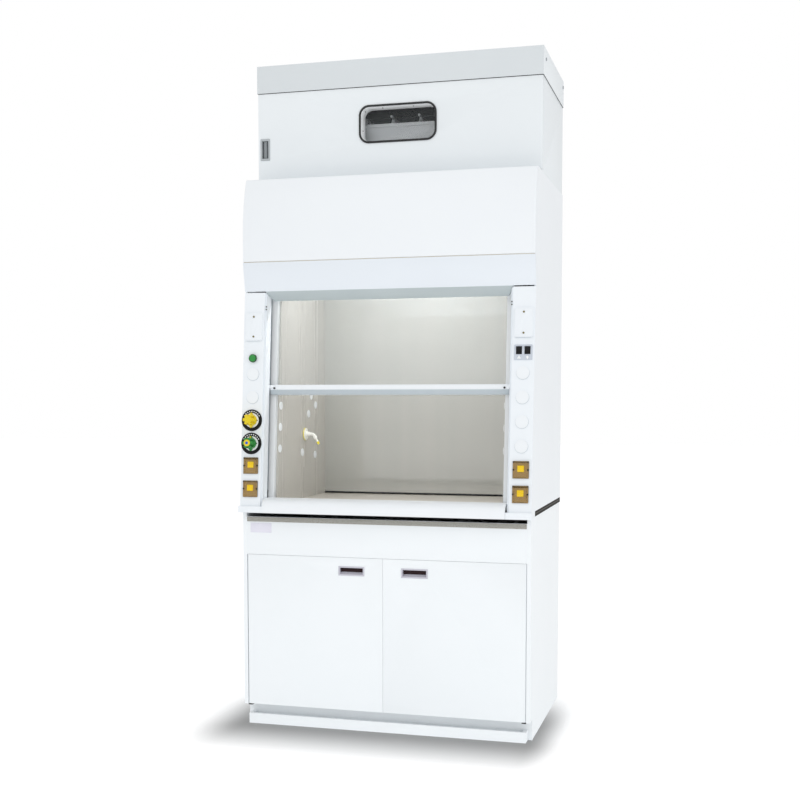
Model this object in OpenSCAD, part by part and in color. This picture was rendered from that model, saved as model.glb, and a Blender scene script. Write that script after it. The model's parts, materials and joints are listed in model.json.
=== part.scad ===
// Walk-up fume hood with a fume scrubber on its roof, in welded polypropylene sheet.
// +Z is up, the user stands on the -Y side and +X is to the user's right.
// The origin is on the floor, under the middle of the whole object.
// Depths are measured forward from the wall plane at the hood's back.

/* [Hood body] */
// Width of the hood body
hood_w = 1200; // [1180:2:1300]
// Height of the hood body's roof above the floor
hood_h = 2235; // [2230:1:2250]
// Depth of the header at its belly
belly_d = 744; // [740:1:748]
// Depth of the header at the roof
brow_d = 703; // [690:1:712]
// Height of the seam between the header and its lower fascia
seam_h = 1898; // [1880:1:1920]
// Thickness of the polypropylene sheet
sheet_t = 8; // [6:1:9]

/* [Posts and controls] */
// Depth of the posts at the foot
foot_d = 797; // [796:1:800]
// Depth of the posts at the head
head_d = 724; // [722:1:730]
// Height of the posts' heads
head_h = 1776; // [1760:1:1776]
// Width of a post's flat front face
face_w = 88; // [86:1:92]
// Distance between the control holes along a post
control_pitch = 94.5; // [92:0.5:95]
// Diameter of a dial plate
dial_dia = 88; // [80:1:90]
// How far a service knob stands out from its post
knob_out = 53; // [45:1:60]

/* [Sash] */
// Travel of the sash from its stop down to the sill
sash_travel = 420; // [300:5:420]
// Height of the sash handle
handle_h = 40; // [36:1:40]
// Thickness of the sash glass
glass_t = 6; // [5:1:6]

/* [Worktop] */
// Height of the worktop's underside
bench_h = 886; // [880:1:887]
// Thickness of the worktop slab
slab_t = 21; // [18:1:22]
// Depth of the slab where its edge shows on the hood's side
slab_d = 708; // [680:2:716]

/* [Base cabinet] */
// Depth of the base cabinet
base_d = 773; // [770:1:776]
// Step between the hood's side and the cabinet's side
base_step = 3; // [1:1:5]
// Thickness of the cabinet's boards
board_t = 16; // [14:1:17]
// Height of the doors' lower edge
door_low = 84; // [84:1:90]
// Height of the apron's lower edge
apron_low = 708; // [690:1:716]
// Depth of the toe recess
toe_d = 56; // [50:1:60]

/* [Scrubber] */
// Depth of the scrubber
scrubber_d = 570; // [560:1:580]
// Height of the scrubber's top
scrubber_top = 2722; // [2712:1:2730]
// Height of the grey cap
cap_h = 111; // [108:1:116]
// Width of the window
window_w = 326; // [320:1:330]
// Height of the window
window_h = 153; // [148:1:156]
// Bore radius of the exhaust spigot
duct_r = 121; // [100:1:125]

/* [Hidden] */
$fn = 64;

white = [0.93, 0.95, 0.96];
cap_grey = [0.80, 0.83, 0.85];
liner_grey = [0.79, 0.78, 0.76];
steel = [0.68, 0.70, 0.72];
pull_grey = [0.72, 0.75, 0.77];

hair = 0.05;
pin_gap = 0.05;
half_w = hood_w / 2;
inner_x = half_w - sheet_t;
bench_top = bench_h + slab_t;

// A post's lean, and the height of a point along it
lean = atan((foot_d - head_d) / (head_h - bench_top));
post_len = (head_h - bench_top) / cos(lean);
function world_h(along, behind = 0) = bench_top + along * cos(lean) - behind * sin(lean);
function world_d(along, behind = 0) = foot_d - along * sin(lean) - behind * cos(lean);

// Control positions along a post, counted down from the highest hole
control_x = half_w - face_w / 2;
first_hole = 540;
function hole_at(n) = first_hole - control_pitch * n;
yellow_at = hole_at(2);
green_at = hole_at(3);
upper_socket_at = hole_at(4) + 4;
lower_socket_at = hole_at(5) + 4;
button_at = 604;
switch_at = 618;
rocker_rise = 8;
cover_at = 733;

// The knobs' faces are the foremost points, so they set the middle of the depth
knob_face_r = 14;
front_d = world_d(green_at - knob_face_r, -knob_out);
mid_d = front_d / 2;

// Sash, tracks and drive, placed by their distance behind the post's front face
glass_s = 70;
handle_s = 42;
handle_low = 460;
glass_half = 488;
glass_top = 1278;
track_x = 489;
grip_half = 496;
opening_x = 472;
liner_s = 83.5;
belt_x = 513;
belt_w = 10;
belt_t = 2;
belt_s = 72;
pulley_r = 22;
shaft_r = 6;
shaft_at = 1300;
idler_at = 38;
weight_low = 100;
weight_h = 320;
sash_low = handle_low - sash_travel;

// Interior
baffle_d = 100;
deck_t = 5;
deck_top = bench_top + deck_t;
sill_top = 940;
sill_end = 499.4;
ceiling_h = 2110;

// Sockets and switches
socket_w = 63;
socket_h = 67;
lid_out = 11;
lid_pin_r = 1.5;
lid_pin_s = -6.5;
rocker_w = 22;
rocker_h = 29.6;
rocker_tilt = 7;
rocker_pin_r = 2;

// Base cabinet
base_x = half_w - base_step;
base_in = base_x - board_t;
door_t = 20;
door_gap = 1.5;
door_x = base_in - door_gap;
door_round = 6;
door_pivot_x = door_x - door_round;
door_pivot_d = base_d - door_round;
door_pin_r = 2.5;
door_high = apron_low - 1;
apron_high = 863;
pin_sink = 20;
pull_w = 109;
pull_h = 38;
pull_x = 131;
pull_h_mid = 653;

// Scrubber
wall_t = 10;
shell_x = half_w - 3;
cap_low = scrubber_top - cap_h;
hatch_low = hood_h + wall_t + 2;
hatch_high = cap_low - 2;
hatch_pivot_x = shell_x - wall_t / 2;
hatch_pivot_d = scrubber_d - wall_t / 2;
hatch_pin_r = 2.5;
hatch_pull_x = -567;
hatch_pull_mid = 2381;
window_x = 6;
window_mid = 2460;
window_r = 42;
reveal_d = 62;
ring_w = 8;
collar_h = 42;

// ---- placing helpers ----

module from_wall() {
    translate([0, mid_d, 0]) children();
}

module on_post() {
    from_wall() translate([0, -foot_d, bench_top]) rotate([-lean, 0, 0]) children();
}

module at_control(side, along) {
    on_post() translate([side * control_x, 0, along]) children();
}

module both_sides() {
    children();
    mirror([1, 0, 0]) children();
}

// A block between two corners, with depths counted forward from the wall plane
module block(x1, x2, d_back, d_front, z1, z2) {
    translate([x1, -d_front, z1]) cube([x2 - x1, d_front - d_back, z2 - z1]);
}

// A block on a post: s counts back from the front face
module post_block(x1, x2, s1, s2, z1, z2) {
    translate([x1, s1, z1]) cube([x2 - x1, s2 - s1, z2 - z1]);
}

// A cylinder along the depth, from s1 to s2
module rod_y(r, s1, s2) {
    translate([0, s1, 0]) rotate([-90, 0, 0]) cylinder(r = r, h = s2 - s1);
}

// A cylinder along the width, from x1 to x2
module rod_x(r, x1, x2) {
    translate([x1, 0, 0]) rotate([0, 90, 0]) cylinder(r = r, h = x2 - x1);
}

// An outline of [depth, height] points, stretched along the width
module along_x(x1, x2, points) {
    translate([x1, 0, 0]) rotate([90, 0, 90]) linear_extrude(x2 - x1) polygon(points);
}

module rounded_rect(w, h, r) {
    square([w - 2 * r, h], center = true);
    square([w, h - 2 * r], center = true);
    for (x = [-1, 1], z = [-1, 1]) {
        translate([x * (w / 2 - r), z * (h / 2 - r)]) circle(r);
    }
}

// A rounded plate facing the user, from s1 to s2
module face_plate(w, h, r, s1, s2) {
    translate([0, s2, 0]) rotate([90, 0, 0]) linear_extrude(s2 - s1) rounded_rect(w, h, r);
}

// ---- base cabinet ----

module base_side() {
    difference() {
        from_wall() block(base_in, base_x, 0, base_d, 0, bench_h);
        from_wall() block(base_in - 1, base_x + 1, base_d - toe_d, base_d + 1, -1, door_low - 2);
    }
}

module base_left_side() {
    color(white) mirror([1, 0, 0]) base_side();
}

module base_right_side() {
    color(white) base_side();
}

module base_back() {
    color(white) from_wall() block(-base_in, base_in, 0, 10, 0, bench_h);
}

module base_floor() {
    floor_low = door_low - 2;
    floor_front = base_d - door_t - 2;
    color(white) from_wall() block(-base_in, base_in, 10, floor_front, floor_low, floor_low + board_t);
}

module base_apron() {
    color(white) from_wall() difference() {
        block(-base_in, base_in, base_d - door_t, base_d, apron_low, apron_high);
        both_sides() translate([door_pivot_x, -door_pivot_d, apron_low - 1])
            cylinder(r = door_pin_r + 0.3, h = pin_sink + 1);
    }
}

module plinth() {
    strip_h = 42;
    strip_d = base_d - 7;
    strip_x = base_in - 1;
    toe_front = base_d - toe_d;
    toe_high = door_low - 6;
    color(white) from_wall() {
        block(-base_in, base_in, toe_front - 12, toe_front, 0, toe_high);
        block(-strip_x, strip_x, strip_d - 12, strip_d, 0, strip_h);
        both_sides() block(strip_x - board_t, strip_x, toe_front, strip_d - 12, 0, strip_h);
    }
}

module levelling_feet() {
    foot_x = 530;
    color(steel) from_wall() for (x = [-foot_x, foot_x], d = [70, 650]) {
        translate([x, -d, 0]) {
            cylinder(r = 25, h = 10);
            cylinder(r = 6, h = door_low - 2);
            translate([0, 0, 52]) cylinder(r = 10, h = 9, $fn = 6);
        }
    }
}

// Left-hand door; its outer front corner is rounded about the pivot
module door_body() {
    pin_in = 14;
    difference() {
        from_wall() union() {
            block(-door_pivot_x, -0.5, base_d - door_t, base_d, door_low, door_high);
            block(-door_x, -door_pivot_x + 1, base_d - door_t, door_pivot_d, door_low, door_high);
            translate([-door_pivot_x, -door_pivot_d, door_low])
                cylinder(r = door_round, h = door_high - door_low);
        }
        from_wall() translate([-door_pivot_x, -door_pivot_d, 0]) {
            translate([0, 0, door_low - 1]) cylinder(r = door_pin_r + pin_gap, h = pin_in + 1);
            translate([0, 0, door_high - pin_in]) cylinder(r = door_pin_r + pin_gap, h = pin_in + 1);
        }
        from_wall() block(-pull_x - pull_w / 2 + 2, -pull_x + pull_w / 2 - 2, base_d - 16, base_d + 1,
            pull_h_mid - pull_h / 2 + 2, pull_h_mid + pull_h / 2 - 2);
    }
}

module left_door() {
    color(white) door_body();
}

module right_door() {
    color(white) mirror([1, 0, 0]) door_body();
}

// Recessed finger pull: a thin frame on the door's face and a scoop with a sloping lower wall
module pull_body() {
    scoop_w = pull_w - 12;
    lip = 1.5;
    translate([-pull_x, mid_d - base_d, pull_h_mid]) difference() {
        union() {
            translate([-pull_w / 2, -lip, -pull_h / 2]) cube([pull_w, lip, pull_h]);
            translate([-pull_w / 2 + 2, 0, -pull_h / 2 + 2]) cube([pull_w - 4, 16, pull_h - 4]);
        }
        translate([-scoop_w / 2, 0, 0]) rotate([90, 0, 90]) linear_extrude(scoop_w)
            polygon([[-lip - 1, 13], [14, 13], [14, -6], [4, -13], [-lip - 1, -13]]);
    }
}

module left_door_pull() {
    color([0.85, 0.85, 0.88]) pull_body();
}

module right_door_pull() {
    color([0.85, 0.85, 0.88]) mirror([1, 0, 0]) pull_body();
}

// A tab under each door's outer corner with a pin in the door's edge, and a pin hung from the apron
module pivot_brackets() {
    tab_t = 4;
    tab_low = door_low - 2 - tab_t;
    color([0.2, 0.2, 0.2]) both_sides() from_wall() {
        block(door_pivot_x - 10, base_in, base_d - toe_d - 30, base_d - 3, tab_low, tab_low + tab_t);
        translate([door_pivot_x, -door_pivot_d, tab_low + tab_t - 1]) cylinder(r = door_pin_r, h = 15);
        translate([door_pivot_x, -door_pivot_d, door_high - 12])
            cylinder(r = door_pin_r, h = apron_low + pin_sink - door_high + 12);
    }
}

// ---- worktop ----

module worktop() {
    color([0.12, 0.12, 0.13]) from_wall() {
        block(-half_w, half_w, 0, slab_d, bench_h, bench_top);
        block(-sill_end, sill_end, slab_d, foot_d - 32, bench_h, bench_top);
    }
}

module deck() {
    color(liner_grey) from_wall() block(-opening_x, opening_x, baffle_d, foot_d - 67, bench_top, deck_top);
}

// Rounded airfoil sill: front lip, quarter-round nose and flat back on three standoffs
module sill() {
    nose_r = 34;
    sill_half = sill_end;
    sill_front = foot_d + 14;
    sill_low = bench_h - 4;
    sill_back = foot_d - 62;
    skin = 7;
    nose_d = sill_front - nose_r;
    nose_h = sill_top - nose_r;
    color(white) from_wall() {
        block(-sill_half, sill_half, sill_front - skin, sill_front, sill_low, nose_h);
        block(-sill_half, sill_half, sill_back, nose_d, sill_top - skin, sill_top);
        intersection() {
            translate([0, -nose_d, nose_h]) difference() {
                rod_x(nose_r, -sill_half, sill_half);
                rod_x(nose_r - skin, -sill_half - 1, sill_half + 1);
            }
            block(-sill_half - 1, sill_half + 1, nose_d, sill_front + 1, nose_h, sill_top + 1);
        }
        for (x = [-440, 0, 440]) {
            block(x - 10, x + 10, foot_d - 54, foot_d - 42, bench_top, sill_top - skin);
        }
    }
}

// ---- hood body ----

// Outline of the header's front, from the roof down to the post's head
brow_rise = 235;
brow_steps = 20;
brow_r = (brow_rise * brow_rise + pow(belly_d - brow_d, 2)) / (2 * (belly_d - brow_d));
brow_turn = asin(brow_rise / brow_r);
fascia_low = head_h + 5;
function header_line(inset) = [for (k = [0 : brow_steps]) let (a = brow_turn * (1 - k / brow_steps))
    [-(belly_d - brow_r + (brow_r - inset) * cos(a)), hood_h - brow_rise + brow_r * sin(a)]];

module hood_side() {
    boss_r = 14;
    boss_len = 24;
    difference() {
        union() {
            from_wall() along_x(inner_x, half_w, concat(
                [[0, bench_top], [-slab_d, bench_top], [-slab_d, bench_h], [-(foot_d - post_t), bench_h],
                 [-(foot_d - post_t), bench_top], [-(head_d - post_t), head_h],
                 [-(head_d - post_t), fascia_low], [-(belly_d - sheet_t), seam_h]],
                [for (k = [brow_steps : -1 : 0]) header_line(sheet_t)[k]],
                [[0, hood_h]]));
            on_post() for (along = [idler_at, shaft_at]) {
                translate([0, belt_s, along]) rod_x(boss_r, inner_x - boss_len, inner_x + 1);
            }
        }
        on_post() for (along = [idler_at, shaft_at]) {
            translate([0, belt_s, along]) rod_x(shaft_r + pin_gap, inner_x - boss_len - 1, inner_x);
        }
    }
}

module left_side() {
    color(white) mirror([1, 0, 0]) hood_side();
}

module right_side() {
    color(white) hood_side();
}

module back_panel() {
    color(white) from_wall() block(-inner_x, inner_x, 0, sheet_t, bench_top, hood_h - sheet_t);
}

module roof_panel() {
    color(white) difference() {
        from_wall() block(-inner_x, inner_x, 0, brow_d - sheet_t - 4, hood_h - sheet_t, hood_h);
        inlet_cut(hood_h - sheet_t - 1, hood_h + 1);
    }
}

// Opening that leads the air from behind the baffle up into the scrubber
inlet_x = 200;
inlet_back = 40;
inlet_front = 190;
module inlet_cut(z1, z2) {
    from_wall() block(-inlet_x, inlet_x, inlet_back, inlet_front, z1, z2);
}

module header_panel() {
    color(white) from_wall() along_x(-half_w, half_w, concat([[-belly_d, seam_h + 1]],
        [for (k = [brow_steps : -1 : 0]) header_line(0)[k]],
        header_line(sheet_t), [[-(belly_d - sheet_t), seam_h + 1]]));
}

// Lower fascia, whose bottom edge turns in as a bevelled soffit above the opening
soffit_out = 511;
soffit_in = 488;
soffit_low = head_h - 32;
module lower_fascia() {
    bevel_d = head_d - 38;
    color(white) from_wall() {
        along_x(-half_w, half_w, [[-belly_d, seam_h - 1], [-head_d, fascia_low],
            [-(head_d - sheet_t), fascia_low], [-(belly_d - sheet_t), seam_h - 1]]);
        intersection() {
            along_x(-soffit_out, soffit_out, [
                [-head_d, fascia_low], [-bevel_d, soffit_low], [-(bevel_d - 5), soffit_low],
                [-(bevel_d - 5), soffit_low + sheet_t], [-(head_d - sheet_t), fascia_low + sheet_t],
                [-head_d, fascia_low + sheet_t]]);
            translate([0, -bevel_d + 20, 0]) rotate([90, 0, 0]) linear_extrude(80) polygon([
                [-soffit_in, soffit_low], [soffit_in, soffit_low], [soffit_out, fascia_low],
                [soffit_out, fascia_low + 9], [-soffit_out, fascia_low + 9], [-soffit_out, fascia_low]]);
        }
    }
}

// ---- posts ----

face_in = half_w - face_w;
post_t = 8;
groove_w = 8;
bevel_start = face_in - groove_w;
bevel_end = 499;
bevel_back = 40;

// Cross-section of a post's folded front: flat face, groove, then the return beside the sash
module post_section() {
    union() {
        translate([face_in, 0]) square([inner_x - face_in, 6]);
        translate([bevel_start, 6]) square([face_in - bevel_start + 4, 5]);
        polygon([
            [bevel_start + 2, 4], [bevel_end, bevel_back - 4], [bevel_end, bevel_back],
            [bevel_end + 4.5, bevel_back], [bevel_start + 7, 11]]);
    }
}

module post_shell(blank_count) {
    difference() {
        union() {
            on_post() linear_extrude(post_len) post_section();
            on_post() post_block(inner_x, half_w, 0, post_t - 0.2, 0, post_len);
            from_wall()
                block(sill_end + 0.6, half_w + 4, foot_d - 4, foot_d + 12, bench_h - 4, bench_top + 1);
        }
        from_wall() translate([0, -head_d + 60, 0]) rotate([90, 0, 0]) linear_extrude(80) polygon([
            [460, soffit_low - 1], [soffit_in + 0.6, soffit_low - 1], [soffit_out + 0.6, fascia_low - 1],
            [soffit_out + 0.6, fascia_low + 20], [460, fascia_low + 20]]);
        from_wall() block(460, sill_end + 0.6, foot_d - 70, foot_d + 20, bench_h - 5, sill_top + 1.5);
        for (n = [0 : blank_count - 1]) {
            at_control(1, hole_at(n)) rod_y(20.3, -1, 30);
        }
        for (along = [upper_socket_at, lower_socket_at]) {
            at_control(1, along) post_block(-26, 26, -1, 30, -26, 26);
        }
    }
}

module left_post() {
    color(white) difference() {
        mirror([1, 0, 0]) post_shell(2);
        at_control(-1, button_at) rod_y(11.05, -1, 30);
        for (along = [yellow_at, green_at]) {
            at_control(-1, along) rod_y(8, -1, 30);
        }
    }
}

module right_post() {
    color(white) difference() {
        post_shell(4);
        at_control(1, switch_at) post_block(-31, 31, -1, 30, -25, 25);
    }
}

// Sash guides: a channel for each edge of the glass, with a wide flange that shows beside the opening
module sash_tracks() {
    track_low = 7.2;
    track_high = 1270;
    flange_in = opening_x + 6;
    flange_out = track_x + 14;
    flange_t = 6;
    front_s = glass_s - 7;
    rear_s = glass_s + glass_t + 1;
    color(white) both_sides() on_post() {
        post_block(flange_in, flange_out, front_s, front_s + flange_t, track_low, track_high);
        post_block(track_x + 1, track_x + 5, front_s + flange_t, rear_s, track_low, track_high);
        post_block(flange_in, track_x + 5, rear_s, rear_s + flange_t, track_low, track_high);
    }
}

// ---- interior ----

// Hole positions on a side liner: [depth forward of the wall plane, height]
liner_holes = [
    [660, 1316], [668, 1228], [675, 1139], [288, 1357],
    [230, 1316], [322, 1278], [405, 1112], [240, 1095]
];
nozzle_at = [366, 1190];
liner_hole_r = 14.5;
stem_r = 8;

module liner() {
    clear = liner_s + 1;
    difference() {
        from_wall() along_x(opening_x, opening_x + sheet_t, [[-baffle_d, bench_top],
            [-world_d(6, clear), bench_top], [-world_d(1210, clear), ceiling_h], [-baffle_d, ceiling_h]]);
        for (hole = liner_holes) {
            from_wall() translate([0, -hole[0], hole[1]])
                rod_x(liner_hole_r, opening_x - 1, opening_x + sheet_t + 1);
        }
    }
}

module left_liner() {
    color(liner_grey) difference() {
        mirror([1, 0, 0]) liner();
        from_wall() translate([-opening_x - sheet_t - 1, -nozzle_at[0], nozzle_at[1]])
            rod_x(stem_r + pin_gap, 0, sheet_t + 2);
    }
}

module right_liner() {
    color(liner_grey) liner();
}

// The baffle stops short of the deck and the ceiling, which leaves the two exhaust slots
module back_baffle() {
    baffle_half = opening_x + sheet_t;
    lower_slot = 8;
    upper_slot = 50;
    spacer = 30;
    color(liner_grey) from_wall() {
        block(-baffle_half, baffle_half, baffle_d - 6, baffle_d,
            deck_top + lower_slot, ceiling_h - upper_slot);
        for (x = [-300, 300], z = [1100, 1900]) {
            block(x - spacer / 2, x + spacer / 2, sheet_t, baffle_d - 6, z, z + spacer);
        }
    }
}

module ceiling_liner() {
    front = world_d(1210, liner_s + 4);
    color(liner_grey) difference() {
        from_wall() block(-inner_x, inner_x, baffle_d, front, ceiling_h, ceiling_h + 6);
        from_wall() block(-290, 290, front - 140, front - 60, ceiling_h - 1, ceiling_h + 7);
        both_sides() from_wall()
            block(belt_x - 20, inner_x + 1, front - 90, front + 1, ceiling_h - 1, ceiling_h + 7);
    }
}

module light_fitting() {
    front = world_d(1210, liner_s + 4);
    color([0.95, 0.96, 0.9]) from_wall() difference() {
        union() {
            block(-290, 290, front - 140, front - 60, ceiling_h, ceiling_h + 50);
            block(-298, 298, front - 148, front - 52, ceiling_h - 4, ceiling_h);
        }
        block(-270, 270, front - 125, front - 75, ceiling_h - 5, ceiling_h + 30);
    }
    color([1, 1, 0.95]) from_wall() translate([0, -(front - 100), ceiling_h + 14]) rod_x(8, -270, 270);
}

// ---- sash and its drive ----

module sash_glass() {
    color([0.75, 0.85, 0.88, 0.4]) on_post()
        post_block(-glass_half, glass_half, glass_s, glass_s + glass_t, handle_low + 8, glass_top);
}

// Handle: full-width grip with a finger groove under it, a clamp on the glass, and a lug at each end
module sash_handle() {
    lug_low = handle_low + 26;
    lug_h = 13;
    grip_s = handle_s + 12;
    clamp_half = opening_x - 4;
    clamp_top = handle_low + 34;
    clamp_s = glass_s + glass_t + 6;
    color([0.90, 0.92, 0.95]) on_post() difference() {
        union() {
            translate([-grip_half, 0, handle_low]) rotate([90, 0, 90]) linear_extrude(2 * grip_half) polygon([
                [handle_s, handle_h / 2], [handle_s + 1.5, handle_h], [grip_s + 6, handle_h],
                [grip_s + 6, 34], [grip_s, 34], [grip_s, 0], [handle_s + 7, 0], [handle_s + 5, 3]]);
            post_block(-clamp_half, clamp_half, grip_s - 2, clamp_s, handle_low, clamp_top);
            both_sides() post_block(grip_half - 6, belt_x + belt_w / 2 + 6, handle_s, grip_s,
                lug_low, lug_low + lug_h);
        }
        post_block(-glass_half - 1, glass_half + 1, glass_s - hair, glass_s + glass_t + hair,
            handle_low + 8 - hair, handle_low + 50);
        both_sides() post_block(belt_x - belt_w / 2 - 0.6, belt_x + belt_w / 2 + 0.6,
            belt_s - pulley_r - belt_t - 0.9, belt_s - pulley_r + 0.6, lug_low - 1, lug_low + lug_h + 1);
    }
}

module pulley(along) {
    rim = 3;
    translate([0, belt_s, along]) {
        rod_x(pulley_r - 0.3, belt_x - belt_w / 2 - 1, belt_x + belt_w / 2 + 1);
        rod_x(pulley_r + rim, belt_x - belt_w / 2 - 3, belt_x - belt_w / 2 - 1);
        rod_x(pulley_r + rim, belt_x + belt_w / 2 + 1, belt_x + belt_w / 2 + 3);
    }
}

module drive_shaft() {
    color(steel) on_post() {
        translate([0, belt_s, shaft_at]) rod_x(shaft_r, -inner_x + 4, inner_x - 4);
        both_sides() pulley(shaft_at);
    }
}

module idler_pulleys() {
    color(steel) both_sides() on_post() {
        translate([0, belt_s, idler_at]) rod_x(shaft_r, belt_x - belt_w / 2 - 3, inner_x - 4);
        pulley(idler_at);
    }
}

// One closed loop a side, from the idler at the foot to the shaft at the top
module belt_outline(r) {
    translate([belt_s, idler_at]) circle(r);
    translate([belt_s, shaft_at]) circle(r);
    translate([belt_s - r, idler_at]) square([2 * r, shaft_at - idler_at]);
}

module sash_belts() {
    color([0.15, 0.15, 0.15]) both_sides() on_post()
        translate([belt_x - belt_w / 2, 0, 0]) rotate([90, 0, 90]) linear_extrude(belt_w) difference() {
            belt_outline(pulley_r + belt_t);
            belt_outline(pulley_r);
        }
}

// A steel bar a side with a clamp round the belt's rear run
module counterweights() {
    back_run = belt_s + pulley_r;
    clamp_h = 40;
    clamp_low = weight_low + 140;
    color(steel) both_sides() on_post() difference() {
        union() {
            post_block(belt_x + 10, belt_x + 70, back_run - 4, back_run + 44,
                weight_low, weight_low + weight_h);
            post_block(belt_x - 9, belt_x + 10, back_run - 4, back_run + 6, clamp_low, clamp_low + clamp_h);
        }
        post_block(belt_x - belt_w / 2 - 0.6, belt_x + belt_w / 2 + 0.6,
            back_run - 0.6, back_run + belt_t + 0.6, clamp_low - 1, clamp_low + clamp_h + 1);
    }
}

// ---- things on the posts ----

// Raised cover with rolled lower lip and two screws
module cover_plates() {
    screw_pitch = 81;
    color(white) for (side = [-1, 1]) {
        at_control(side, cover_at) {
            face_plate(75, 116, 8, -4, 0);
            face_plate(69, 106, 6, -5.5, -4);
            translate([0, 0, -55]) rotate([0, 90, 0]) translate([0, -4, -30]) cylinder(r = 3, h = 60);
        }
    }
    color([0.25, 0.25, 0.25]) for (side = [-1, 1], z = [-1, 1]) {
        at_control(side, cover_at + z * screw_pitch / 2) rod_y(3.6, -7.5, -5.5);
    }
}

module blank(r_face, r_barrel) {
    rod_y(r_face, -2.5, 0);
    rod_y(r_barrel, 0, 9);
}

module hole_blanks() {
    color(white) {
        for (n = [0 : 1]) {
            at_control(-1, hole_at(n)) blank(25.5, 20);
        }
        for (n = [0 : 3]) {
            at_control(1, hole_at(n)) blank(25.5, 20);
        }
        both_sides() for (hole = liner_holes) {
            from_wall() translate([opening_x, -hole[0], hole[1]]) rotate([0, 0, -90])
                blank(liner_hole_r + 2, liner_hole_r - 0.2);
        }
    }
}

module start_button() {
    color([0.10, 0.45, 0.18]) at_control(-1, button_at) {
        rod_y(17, -13, -4.5);
        rod_y(11, -4.5, 22);
    }
}

module dial_plates() {
    ring_w = 11;
    color([0.1, 0.1, 0.1]) for (along = [yellow_at, green_at]) {
        at_control(-1, along) difference() {
            union() {
                rod_y(dial_dia / 2, -2, 0);
                difference() {
                    rod_y(dial_dia / 2, -3.5, -2);
                    rod_y(dial_dia / 2 - ring_w, -4, -1.9);
                }
            }
            rod_y(8, -5, 1);
        }
    }
}

// Remote-control knob: skirt with two pointer tips, then a fluted grip with a raised cap
module knob() {
    flutes = 8;
    grip_r = 17.5;
    difference() {
        union() {
            rod_y(21, -12, -4.5);
            rotate([-90, 0, 0]) translate([0, 0, -12]) linear_extrude(7.5) intersection() {
                translate([18, 0]) circle(36);
                translate([-18, 0]) circle(36);
            }
            difference() {
                rod_y(grip_r, -knob_out + 5, -12);
                for (k = [0 : flutes - 1]) {
                    rotate([0, k * 360 / flutes, 0]) translate([grip_r + 1.5, 0, 0])
                        rod_y(3.5, -knob_out - 1, -18);
                }
            }
            rod_y(knob_face_r, -knob_out, -knob_out + 5);
        }
        rod_y(6 + pin_gap, -23, -4);
    }
}

module yellow_knob() {
    color([0.91, 0.80, 0.08]) at_control(-1, yellow_at) knob();
}

module green_knob() {
    color([0.15, 0.50, 0.22]) at_control(-1, green_at) knob();
}

module control_valves() {
    color([0.72, 0.60, 0.35]) for (along = [yellow_at, green_at]) {
        at_control(-1, along) {
            rod_y(6, -22, 12);
            rod_y(18, 12, 40);
            translate([0, 26, 0]) rod_x(6, -28, 28);
            rod_y(11, 6, 12);
        }
    }
}

// Splash-proof socket: flange and box, with a lid on a pin along its top edge
module socket_box() {
    ear_x = socket_w / 2 - 3;
    pin_z = socket_h / 2 - 4;
    difference() {
        union() {
            face_plate(socket_w, socket_h, 5, -3, 0);
            post_block(-25.5, 25.5, 0, 42, -25.5, 25.5);
        }
        face_plate(46, 46, 4, -4, 14);
    }
    face_plate(27, 27, 4, 5, 14);
    for (x = [-1, 1]) {
        translate([x * ear_x - 1.5, lid_pin_s - 3, pin_z - 3]) cube([3, 6.6, 6]);
    }
    translate([0, lid_pin_s, pin_z]) rod_x(lid_pin_r, -ear_x, ear_x);
}

module socket_boxes() {
    color([0.20, 0.17, 0.13]) for (side = [-1, 1], along = [upper_socket_at, lower_socket_at]) {
        at_control(side, along) socket_box();
    }
}

module socket_lid() {
    pin_z = socket_h / 2 - 4;
    barrel_x = socket_w / 2 - 5;
    lid_w = socket_w - 12;
    difference() {
        union() {
            translate([-lid_w / 2, -lid_out, -socket_h / 2 + 2]) cube([lid_w, lid_out - 3.4, socket_h - 7]);
            translate([0, lid_pin_s, pin_z]) rod_x(3, -barrel_x, barrel_x);
        }
        translate([-lid_w / 2 + 2, -lid_out + 2, -socket_h / 2 + 4])
            cube([lid_w - 4, lid_out, socket_h - 13]);
        translate([0, lid_pin_s, pin_z]) rod_x(lid_pin_r + pin_gap, -barrel_x - 1, barrel_x + 1);
    }
}

module left_upper_lid() {
    color([0.62, 0.48, 0.25, 0.8]) at_control(-1, upper_socket_at) socket_lid();
}

module left_lower_lid() {
    color([0.62, 0.48, 0.25, 0.8]) at_control(-1, lower_socket_at) socket_lid();
}

module right_upper_lid() {
    color([0.62, 0.48, 0.25, 0.8]) at_control(1, upper_socket_at) socket_lid();
}

module right_lower_lid() {
    color([0.62, 0.48, 0.25, 0.8]) at_control(1, lower_socket_at) socket_lid();
}

rocker_x = 16.5;
rocker_z = 8;
rocker_s = 1;

module switch_panel() {
    color([0.85, 0.88, 0.90]) at_control(1, switch_at) {
        difference() {
            union() {
                face_plate(71, 59, 3, -3, 0);
                post_block(-30, 30, 0, 20, -24, 24);
            }
            for (x = [-rocker_x, rocker_x]) {
                translate([x, 0, rocker_z])
                    post_block(-rocker_w / 2 - 0.6, rocker_w / 2 + 0.6, -4, 12, -15.4, 15.4);
            }
        }
        for (x = [-rocker_x, rocker_x]) {
            translate([x, rocker_s, rocker_z]) rod_x(rocker_pin_r, -rocker_w / 2 - 1, rocker_w / 2 + 1);
        }
    }
}

// A rocker at rest is pressed in at its lower end
module rocker(x) {
    half_h = rocker_h / 2 - 0.6;
    at_control(1, switch_at) translate([x, rocker_s, rocker_z]) rotate([rocker_tilt, 0, 0]) difference() {
        translate([-rocker_w / 2, 0, 0]) rotate([90, 0, 90]) linear_extrude(rocker_w)
            polygon([[-5, 0], [-7, half_h], [3, half_h], [4, 0], [3, -half_h], [-7, -half_h]]);
        rod_x(rocker_pin_r + pin_gap, -rocker_w, rocker_w);
    }
}

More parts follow.
